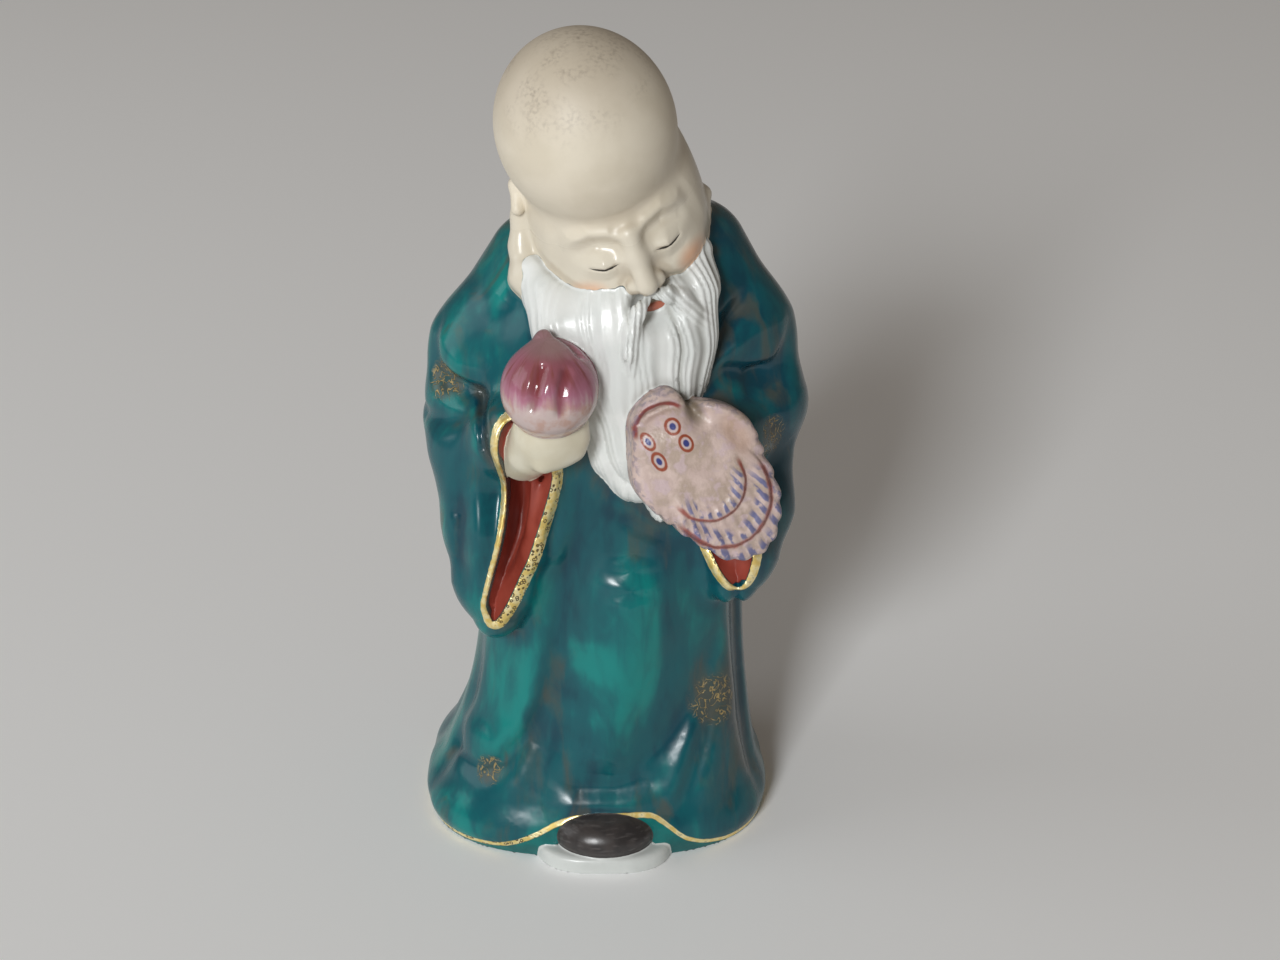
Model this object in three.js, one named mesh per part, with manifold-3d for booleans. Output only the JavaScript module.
// Porcelain figure of a bearded elder who holds a peach and a feather fan, cast in one piece and enamelled.
// Millimetres. The underside rests at z = 0, the front faces -Y and the viewer's right is +X.

import * as THREE from "three";
import { mergeVertices } from "three/addons/utils/BufferGeometryUtils.js";
import Module from "manifold-3d";

// Driving dimensions. A knot of a rod or a rope is its centre and its radius: [x, y, z, radius].

// The robe is a rounded loft: at each height, how far it reaches to the left, right, front and back.
const ROBE = {
  heights: [0, 2.2, 7.5, 17, 30, 46, 62, 76, 85, 90],
  left: [-24.3, -25.2, -22.6, -19.2, -17.2, -17.8, -19, -12.5, -7, -4],
  right: [20, 20.6, 19.2, 17.8, 17, 17.8, 19, 14, 9, 5],
  front: [-19.2, -19.8, -18.4, -15.6, -14.3, -14.4, -14.8, -12, -8, -5],
  back: [15.8, 16.6, 15.6, 14.3, 13.6, 14.3, 15.4, 12, 7.5, 4],
  squareness: 2.35,
  hemSquareness: 2.6,
  // The front of the hem runs askew by this much for each millimetre across, up to the height where it ends.
  skew: 0.08,
  skewTop: 24,
  middle: -0.8,
  hemMiddle: -4.5,
  hemMiddleTop: 42,
  capHeight: 89,
  capFillet: 4,
};
const FRONT = -1;
const BACK = 1;
// A fold is a groove down the cloth, or a ridge where its depth is negative.
const FOLDS = [
  { side: FRONT, heights: [9, 21, 35, 41], places: [-9.9, -7.5, -5.8, -5.4], width: 1.9, depth: 1.4 },
  { side: FRONT, heights: [17.4, 21.8, 28, 36], places: [-12.4, -10.6, -9.6, -8.6], width: 2, depth: -1.5 },
  { side: FRONT, heights: [11.8, 15.6, 20.6], places: [-13.8, -11, -9], width: 1.2, depth: 1.2 },
  { side: FRONT, heights: [14.5, 19, 26, 34, 42], places: [-1.2, -0.3, 1.2, 2.2, 2.6], width: 5.5, depth: -1.8 },
  { side: FRONT, heights: [12, 14.6, 19, 25.5], places: [3.4, 6.4, 9.4, 12], width: 1.6, depth: 1.2 },
  { side: FRONT, heights: [8.6, 13, 17.6], places: [12.3, 13.3, 14.5], width: 1.4, depth: -0.9 },
  { side: BACK, heights: [4, 20, 45], places: [-9, -7, -5], width: 2.4, depth: 0.9 },
  { side: BACK, heights: [4, 20, 48], places: [5.5, 4.5, 3], width: 2.6, depth: 1 },
  { side: BACK, heights: [3, 16, 34], places: [13, 11.5, 10], width: 2.2, depth: 0.8 },
  { side: BACK, heights: [3, 16, 34], places: [-17, -15, -13.5], width: 2, depth: 0.7 },
];
const FOLD_FADE = 4;

const SLEEVES = {
  peachArm: [[-8.3, 1, 73.6, 7], [-14.3, -1, 64, 7.9], [-17.2, -2.8, 57, 5.9], [-15.8, -6.5, 54.5, 5.6],
    [-11.5, -14, 59.5, 4.7]],
  peachFall: [[-17, -4.2, 54, 5.6], [-15.9, -7.5, 43, 4.8], [-15.7, -10, 36.8, 4], [-15.1, -13, 32.8, 2]],
  peachLobe: [[-8.8, -14.2, 55, 3.4], [-10.8, -14, 44, 2.7], [-14.4, -13.9, 33.2, 1.9]],
  peachMouth: [[-10.4, -18.4, 56.5, 3.3], [-12, -17.9, 46, 2.7], [-14.6, -16.9, 35, 1.2]],
  fanArm: [[10.3, 1, 75.4, 7], [15, -0.5, 66.4, 7.6], [18, -2.8, 58.5, 5.9], [11.5, -13.6, 56.5, 5.6]],
  fanFall: [[17.5, -3.8, 54, 5.6], [17.2, -6.3, 46, 5.6], [16.2, -9, 40.4, 4.4], [15.6, -11.2, 37.2, 2.2]],
  fanMouth: [[15.6, -17.4, 46, 3.4], [15.8, -15.4, 38.4, 1.5]],
};

// The head's own frame is upright with the face along -Y. It is pitched, rolled and yawed, in degrees.
const HEAD = {
  heart: [0, 0.5, 2],
  origin: [1.2, -5.5, 85],
  pitch: 12,
  roll: -18,
  yaw: 8,
  dome: { centre: [-0.55, 1.2, 11.3], radii: [10.6, 11.4, 12] },
  jaw: { centre: [-0.5, 0.8, -2.3], radii: [10.6, 9.9, 11.6] },
  nape: { centre: [0, 4, 3], radii: [9.9, 9.2, 12.5] },
  brow: [[0, -9.1, 2, 0.6], [3.2, -8.7, 2.9, 0.8], [6.8, -6.8, 2, 0.6]],
  socket: { centre: [3.75, -10.2, -0.2], radii: [2.9, 1.7, 1.9] },
  lid: { centre: [3.75, -7.7, -0.3], radii: [2.25, 1.6, 1.5] },
  cheek: { centre: [5, -6.5, -4.6], radii: [3.4, 3, 3.2] },
  nose: [[0, -8.7, 1.8, 1.1], [0, -9.9, -1.8, 1.15], [0, -10.9, -4, 1.45]],
};
// Each ear runs from its rim down to its long lobe.
const EARS = [
  [[-10.7, -4.3, 86.2, 2.2], [-10.6, -5.2, 81.5, 1.6], [-10, -8.6, 78.2, 2.1]],
  [[10.5, -0.6, 83.6, 2.2], [10.4, -1.4, 79, 1.6], [11.5, -3.4, 75.5, 2.1]],
];

const BEARD = {
  bulk: { centre: [2.1, -10.2, 69], radii: [10.3, 7.2, 11] },
  peachSide: [[-8.3, -8.8, 76.6, 2.2], [-5.8, -11.8, 73, 3.2], [-3, -13, 66, 3.6]],
  fanSide: [[10.4, -7.6, 79.6, 2.3], [9.2, -10.4, 73.5, 3.2], [7.5, -12.6, 66, 3.2]],
  tail: [[1.8, -13, 66, 4.6], [3.6, -14, 58, 4.2], [6.8, -15, 50, 2.2]],
};
const HAND = {
  palm: { centre: [-7.1, -18, 61.3], radii: [4.6, 3.9, 4.2] },
  wrist: [[-9.4, -16.4, 58.5, 3.2], [-10.6, -13, 56, 3.2]],
};
const HEM_ARCH = { centre: [-1, -21, -0.6], radii: [9.6, 5.5, 5.5] };

const PEACH = { centre: [-7, -18.8, 67.7], radii: [5.8, 5.8, 5.8], tipHeight: 1.3, tipSpread: 0.35 };
const SHOE = { centre: [-1, -17.2, 3.6], radii: [6.7, 5, 3.7] };
const SLAB = { centre: [-0.7, -14.5], halves: [8.8, 8.6], height: 2.3, squareness: 3.2 };

// The fan lies in its own plane. Its outline is how far it reaches from its centre at each angle from "down".
const FAN = {
  centre: [12, -19.6, 55.9],
  normal: [0.22, -0.94, 0.26],
  down: [0.5, 0, -0.86],
  angles: [-180, -165, -150, -120, -95, -65, -40, -15, 5, 30, 55, 75, 95, 120, 140, 157, 167, 180],
  reaches: [13.2, 12.6, 10.6, 9.1, 7.7, 7.3, 8.4, 10.8, 11.8, 10.2, 8.3, 7.3, 7.5, 8.9, 9.5, 9.7, 11.6, 13.2],
  crown: 2.8,
  backing: 3,
  rimSquareness: 0.45,
};

const FILLET = { mouth: 0.8, rope: 2, arm: 3, sleeve: 1.6, beard: 2.5 };

// Facets around and up each part, as the columns and rows of the ball that it is pushed out from.
const FACETS = {
  robe: [50, 33],
  sleeve: [24, 20],
  mouth: [14, 12],
  head: [36, 30],
  ear: [10, 8],
  beard: [28, 20],
  hand: [14, 9],
  peach: [20, 12],
  fan: [36, 10],
  shoe: [18, 8],
  arch: [26, 12],
  slab: [28],
};
// Where the rays that push each part out start from.
const HEART = {
  peachSleeve: [-15.2, -6, 54],
  fanSleeve: [15.5, -5, 58],
  peachMouth: [-12, -17.9, 46],
  fanMouth: [15.7, -16.4, 42],
  beard: [2.4, -11.5, 67],
  hand: [-8, -17, 60.4],
};
const RAY_START = 45;
// The robe's facets crowd towards the front by this much.
const FRONT_CROWDING = 0.35;

const GLAZE = { color: 0x0f6b6c, roughness: 0.25, metalness: 0 };

const degrees = THREE.MathUtils.degToRad;
const vector = (values) => new THREE.Vector3(values[0], values[1], values[2]);

// Distances. Each function gives how far a point is outside a shape, and less than zero inside it.

function smoothUnion(first, second, fillet) {
  const blend = Math.max(fillet - Math.abs(first - second), 0) / fillet;
  return Math.min(first, second) - blend * blend * fillet * 0.25;
}

function smoothCut(body, tool, fillet) {
  return -smoothUnion(-body, tool, fillet);
}

function smoothCommon(first, second, fillet) {
  return -smoothUnion(-first, -second, fillet);
}

function ellipsoid(p, { centre, radii }) {
  const x = p.x - centre[0];
  const y = p.y - centre[1];
  const z = p.z - centre[2];
  const near = Math.hypot(x / radii[0], y / radii[1], z / radii[2]);
  const slope = Math.hypot(x / radii[0] ** 2, y / radii[1] ** 2, z / radii[2] ** 2);
  return (near * (near - 1)) / Math.max(slope, 1e-6);
}

function rod(p, start, end) {
  const axis = [end[0] - start[0], end[1] - start[1], end[2] - start[2]];
  const offset = [p.x - start[0], p.y - start[1], p.z - start[2]];
  const reach = axis[0] ** 2 + axis[1] ** 2 + axis[2] ** 2;
  const dot = axis[0] * offset[0] + axis[1] * offset[1] + axis[2] * offset[2];
  const along = THREE.MathUtils.clamp(dot / reach, 0, 1);
  const away = offset.map((value, i) => value - axis[i] * along);
  return Math.hypot(...away) - (start[3] + (end[3] - start[3]) * along);
}

function rope(p, knots, fillet) {
  let result = rod(p, knots[0], knots[1]);
  for (let i = 1; i < knots.length - 1; i++) {
    result = smoothUnion(result, rod(p, knots[i], knots[i + 1]), fillet);
  }
  return result;
}

// A smooth curve through values at rising stations, with the slope of a parabola at each inner station.
function spline(stations, values, where) {
  const last = stations.length - 1;
  const x = THREE.MathUtils.clamp(where, stations[0], stations[last]);
  let i = 0;
  while (i < last - 1 && x >= stations[i + 1]) {
    i += 1;
  }
  const secant = (n) => (values[n + 1] - values[n]) / (stations[n + 1] - stations[n]);
  const slope = (n) => {
    if (n === 0) {
      return secant(0);
    }
    if (n === last) {
      return secant(last - 1);
    }
    const before = stations[n] - stations[n - 1];
    const after = stations[n + 1] - stations[n];
    return (secant(n - 1) * after + secant(n) * before) / (before + after);
  };
  const gap = stations[i + 1] - stations[i];
  const t = (x - stations[i]) / gap;
  const rise = t * t * (3 - 2 * t);
  const start = t * (1 - t) * (1 - t) * gap * slope(i);
  const finish = t * t * (t - 1) * gap * slope(i + 1);
  return values[i] + (values[i + 1] - values[i]) * rise + start + finish;
}

function foldDepth(p, facing) {
  let depth = 0;
  for (const fold of FOLDS) {
    const low = fold.heights[0];
    const high = fold.heights[fold.heights.length - 1];
    const rising = THREE.MathUtils.smoothstep(p.z, low - FOLD_FADE, low + FOLD_FADE);
    const falling = 1 - THREE.MathUtils.smoothstep(p.z, high - FOLD_FADE, high + FOLD_FADE);
    const side = THREE.MathUtils.smoothstep(facing * fold.side, -0.1, 0.5);
    const offset = (p.x - spline(fold.heights, fold.places, p.z)) / fold.width;
    depth += fold.depth * Math.exp(-offset * offset) * rising * falling * side;
  }
  return depth;
}

function robeDistance(p) {
  const left = spline(ROBE.heights, ROBE.left, p.z);
  const right = spline(ROBE.heights, ROBE.right, p.z);
  const front = spline(ROBE.heights, ROBE.front, p.z);
  const back = spline(ROBE.heights, ROBE.back, p.z);
  const rise = THREE.MathUtils.smoothstep(p.z, 0, ROBE.hemMiddleTop);
  const middle = THREE.MathUtils.lerp(ROBE.hemMiddle, ROBE.middle, rise);
  const askew = 1 - THREE.MathUtils.smoothstep(p.z, 0, ROBE.skewTop);
  const y = p.y + ROBE.skew * askew * p.x * THREE.MathUtils.smoothstep(-p.y, -4, 8);
  const across = (p.x - (left + right) / 2) / ((right - left) / 2);
  const through = (y - middle) / (y < middle ? middle - front : back - middle);
  const n = THREE.MathUtils.lerp(ROBE.hemSquareness, ROBE.squareness, rise);
  const ratio = Math.max((Math.abs(across) ** n + Math.abs(through) ** n) ** (1 / n), 0.05);
  const radial = Math.hypot(p.x - (left + right) / 2, y - middle);
  const body = radial * (1 - 1 / ratio) + foldDepth(p, through / ratio);
  return smoothCommon(body, p.z - ROBE.capHeight, ROBE.capFillet);
}

function peachSleeveDistance(p) {
  const lobe = rope(p, SLEEVES.peachLobe, FILLET.rope);
  const fall = smoothUnion(rope(p, SLEEVES.peachFall, FILLET.rope), lobe, FILLET.sleeve);
  return smoothUnion(rope(p, SLEEVES.peachArm, FILLET.arm), fall, FILLET.sleeve);
}

function fanSleeveDistance(p) {
  const fall = rope(p, SLEEVES.fanFall, FILLET.rope);
  return smoothUnion(rope(p, SLEEVES.fanArm, FILLET.arm), fall, FILLET.sleeve);
}

// In the head's own frame.
function headDistance(p) {
  const half = new THREE.Vector3(Math.abs(p.x), p.y, p.z);
  let head = smoothUnion(ellipsoid(p, HEAD.jaw), ellipsoid(p, HEAD.nape), 3);
  head = smoothUnion(head, rope(half, HEAD.brow, 0.8), 2.2);
  head = smoothCut(head, ellipsoid(half, HEAD.socket), 1.4);
  head = smoothUnion(head, ellipsoid(half, HEAD.lid), 0.5);
  head = smoothUnion(head, ellipsoid(half, HEAD.cheek), 2.4);
  head = smoothUnion(head, rope(p, HEAD.nose, 0.8), 1.8);
  return smoothUnion(head, ellipsoid(p, HEAD.dome), 1.5);
}

function beardDistance(p) {
  const sides = Math.min(rope(p, BEARD.peachSide, FILLET.rope), rope(p, BEARD.fanSide, FILLET.rope));
  const bulk = smoothUnion(ellipsoid(p, BEARD.bulk), sides, FILLET.beard);
  return smoothUnion(bulk, rope(p, BEARD.tail, FILLET.rope), FILLET.beard);
}

function handDistance(p) {
  return smoothUnion(ellipsoid(p, HAND.palm), rope(p, HAND.wrist, 1), 1.5);
}

// Solids. Most parts are a ball whose vertices are pushed out along rays to the part's surface.

// The place where a ray that comes in from outside first meets the surface.
function meet(distance, origin, direction) {
  const point = new THREE.Vector3();
  for (let reach = RAY_START; reach > 0; ) {
    point.copy(origin).addScaledVector(direction, reach);
    const gap = distance(point);
    if (gap < 0.004) {
      return point;
    }
    reach -= Math.max(gap * 0.6, 0.01);
  }
  return origin.clone();
}

function pushedBall(distance, heart, facets, tilt = Math.PI / 2) {
  const ball = new THREE.SphereGeometry(1, ...facets).rotateX(tilt);
  const position = ball.getAttribute("position");
  const origin = vector(heart);
  for (let i = 0; i < position.count; i++) {
    const direction = new THREE.Vector3().fromBufferAttribute(position, i).normalize();
    const place = meet(distance, origin, direction);
    position.setXYZ(i, place.x, place.y, place.z);
  }
  return ball;
}

// The robe is tall, so its rays are level, between a flat underside and the shoulders.
function robeGeometry() {
  const [around, rows] = FACETS.robe;
  const ball = new THREE.SphereGeometry(1, around, rows);
  const position = ball.getAttribute("position");
  const top = ROBE.heights[ROBE.heights.length - 1] - 1.5;
  for (let row = 0, index = 0; row <= rows; row++) {
    const height = THREE.MathUtils.clamp((top * (rows - 1 - row)) / (rows - 2), 0, top);
    const axis = new THREE.Vector3((ROBE.left[0] + ROBE.right[0]) / 2, ROBE.middle, height);
    for (let column = 0; column <= around; column++, index++) {
      const turn = ((column % around) / around) * 2 * Math.PI;
      const angle = turn + FRONT_CROWDING * Math.sin(turn) + Math.PI / 2;
      const direction = new THREE.Vector3(Math.cos(angle), Math.sin(angle), 0);
      const place = row === 0 || row === rows ? axis : meet(robeDistance, axis, direction);
      position.setXYZ(index, place.x, place.y, place.z);
    }
  }
  return ball;
}

// The facets crowd around the pole of the ball, which is turned to the face.
function headGeometry() {
  const place = new THREE.Matrix4()
    .makeTranslation(...HEAD.origin)
    .multiply(new THREE.Matrix4().makeRotationZ(degrees(HEAD.yaw)))
    .multiply(new THREE.Matrix4().makeRotationY(degrees(HEAD.roll)))
    .multiply(new THREE.Matrix4().makeRotationX(degrees(HEAD.pitch)));
  return pushedBall(headDistance, HEAD.heart, FACETS.head, Math.PI).applyMatrix4(place);
}

function earGeometry(knots) {
  const [, heart] = knots;
  return pushedBall((p) => rope(p, knots, 1), heart.slice(0, 3), FACETS.ear);
}

function ellipsoidGeometry({ centre, radii }, facets) {
  return new THREE.SphereGeometry(1, ...facets).scale(...radii).translate(...centre);
}

function peachGeometry() {
  const sphere = new THREE.SphereGeometry(1, ...FACETS.peach);
  sphere.rotateX(Math.PI / 2);
  const position = sphere.getAttribute("position");
  for (let i = 0; i < position.count; i++) {
    const p = new THREE.Vector3().fromBufferAttribute(position, i);
    const tip = PEACH.tipHeight * Math.max(0, 1 - Math.hypot(p.x, p.y) / PEACH.tipSpread) * (p.z > 0 ? 1 : 0);
    p.multiply(vector(PEACH.radii)).add(vector(PEACH.centre));
    position.setXYZ(i, p.x, p.y, p.z + tip);
  }
  return sphere;
}

function slabGeometry() {
  const outline = new THREE.Shape();
  const power = 2 / SLAB.squareness;
  const bend = (value) => Math.sign(value) * Math.abs(value) ** power;
  const [segments] = FACETS.slab;
  for (let i = 0; i < segments; i++) {
    const angle = (i / segments) * 2 * Math.PI;
    const x = SLAB.centre[0] + SLAB.halves[0] * bend(Math.cos(angle));
    const y = SLAB.centre[1] + SLAB.halves[1] * bend(Math.sin(angle));
    if (i === 0) {
      outline.moveTo(x, y);
    } else {
      outline.lineTo(x, y);
    }
  }
  outline.closePath();
  return new THREE.ExtrudeGeometry(outline, { depth: SLAB.height, bevelEnabled: false });
}

// A sphere is flattened to the fan's outline, crowned in front and shallow behind.
function fanGeometry() {
  const out = vector(FAN.normal).normalize();
  const down = vector(FAN.down).addScaledVector(out, -vector(FAN.down).dot(out)).normalize();
  const across = new THREE.Vector3().crossVectors(out, down);
  const frame = new THREE.Matrix4().makeBasis(down, across, out).setPosition(...FAN.centre);
  const sphere = new THREE.SphereGeometry(1, ...FACETS.fan).rotateX(Math.PI / 2);
  const position = sphere.getAttribute("position");
  for (let i = 0; i < position.count; i++) {
    const p = new THREE.Vector3().fromBufferAttribute(position, i);
    const angle = THREE.MathUtils.radToDeg(Math.atan2(p.y, p.x));
    const level = Math.hypot(p.x, p.y);
    const reach = spline(FAN.angles, FAN.reaches, angle);
    const spread = level > 1e-6 ? reach * level ** (FAN.rimSquareness - 1) : 0;
    position.setXYZ(i, p.x * spread, p.y * spread, p.z * (p.z > 0 ? FAN.crown : FAN.backing));
  }
  return sphere.applyMatrix4(frame);
}

const wasm = await Module();
wasm.setup();

function solid(geometry) {
  const bare = geometry.clone();
  bare.deleteAttribute("normal");
  bare.deleteAttribute("uv");
  const merged = mergeVertices(bare, 1e-4);
  const vertProperties = new Float32Array(merged.getAttribute("position").array);
  const triVerts = new Uint32Array(merged.index.array);
  return new wasm.Manifold(new wasm.Mesh({ numProp: 3, vertProperties, triVerts }));
}

function geometryOf(body) {
  const mesh = body.getMesh();
  const geometry = new THREE.BufferGeometry();
  geometry.setAttribute("position", new THREE.BufferAttribute(mesh.vertProperties, 3));
  geometry.setIndex(new THREE.BufferAttribute(mesh.triVerts, 1));
  geometry.computeVertexNormals();
  return geometry;
}

const tools = [
  pushedBall((p) => rope(p, SLEEVES.peachMouth, 1), HEART.peachMouth, FACETS.mouth),
  pushedBall((p) => rope(p, SLEEVES.fanMouth, 1), HEART.fanMouth, FACETS.mouth),
  ellipsoidGeometry(HEM_ARCH, FACETS.arch),
];
const cloth = [
  robeGeometry(),
  pushedBall(peachSleeveDistance, HEART.peachSleeve, FACETS.sleeve),
  pushedBall(fanSleeveDistance, HEART.fanSleeve, FACETS.sleeve),
];
const laidOn = [
  headGeometry(),
  ...EARS.map(earGeometry),
  pushedBall(beardDistance, HEART.beard, FACETS.beard),
  pushedBall(handDistance, HEART.hand, FACETS.hand),
  peachGeometry(),
  fanGeometry(),
  ellipsoidGeometry(SHOE, FACETS.shoe),
  slabGeometry(),
];
let cast = cloth.map(solid).reduce((joined, part) => joined.add(part));
cast = tools.map(solid).reduce((left, tool) => left.subtract(tool), cast);
cast = laidOn.map(solid).reduce((joined, part) => joined.add(part), cast);

// A pocket that the parts seal between them is filled, as slip fills it: only the outer surface is kept.
const [outer] = cast.decompose().sort((one, other) => other.volume() - one.volume());

const figure = new THREE.Mesh(geometryOf(outer), new THREE.MeshStandardMaterial(GLAZE));
figure.name = "porcelain_figure";

const group = new THREE.Group();
group.add(figure);

export default group;
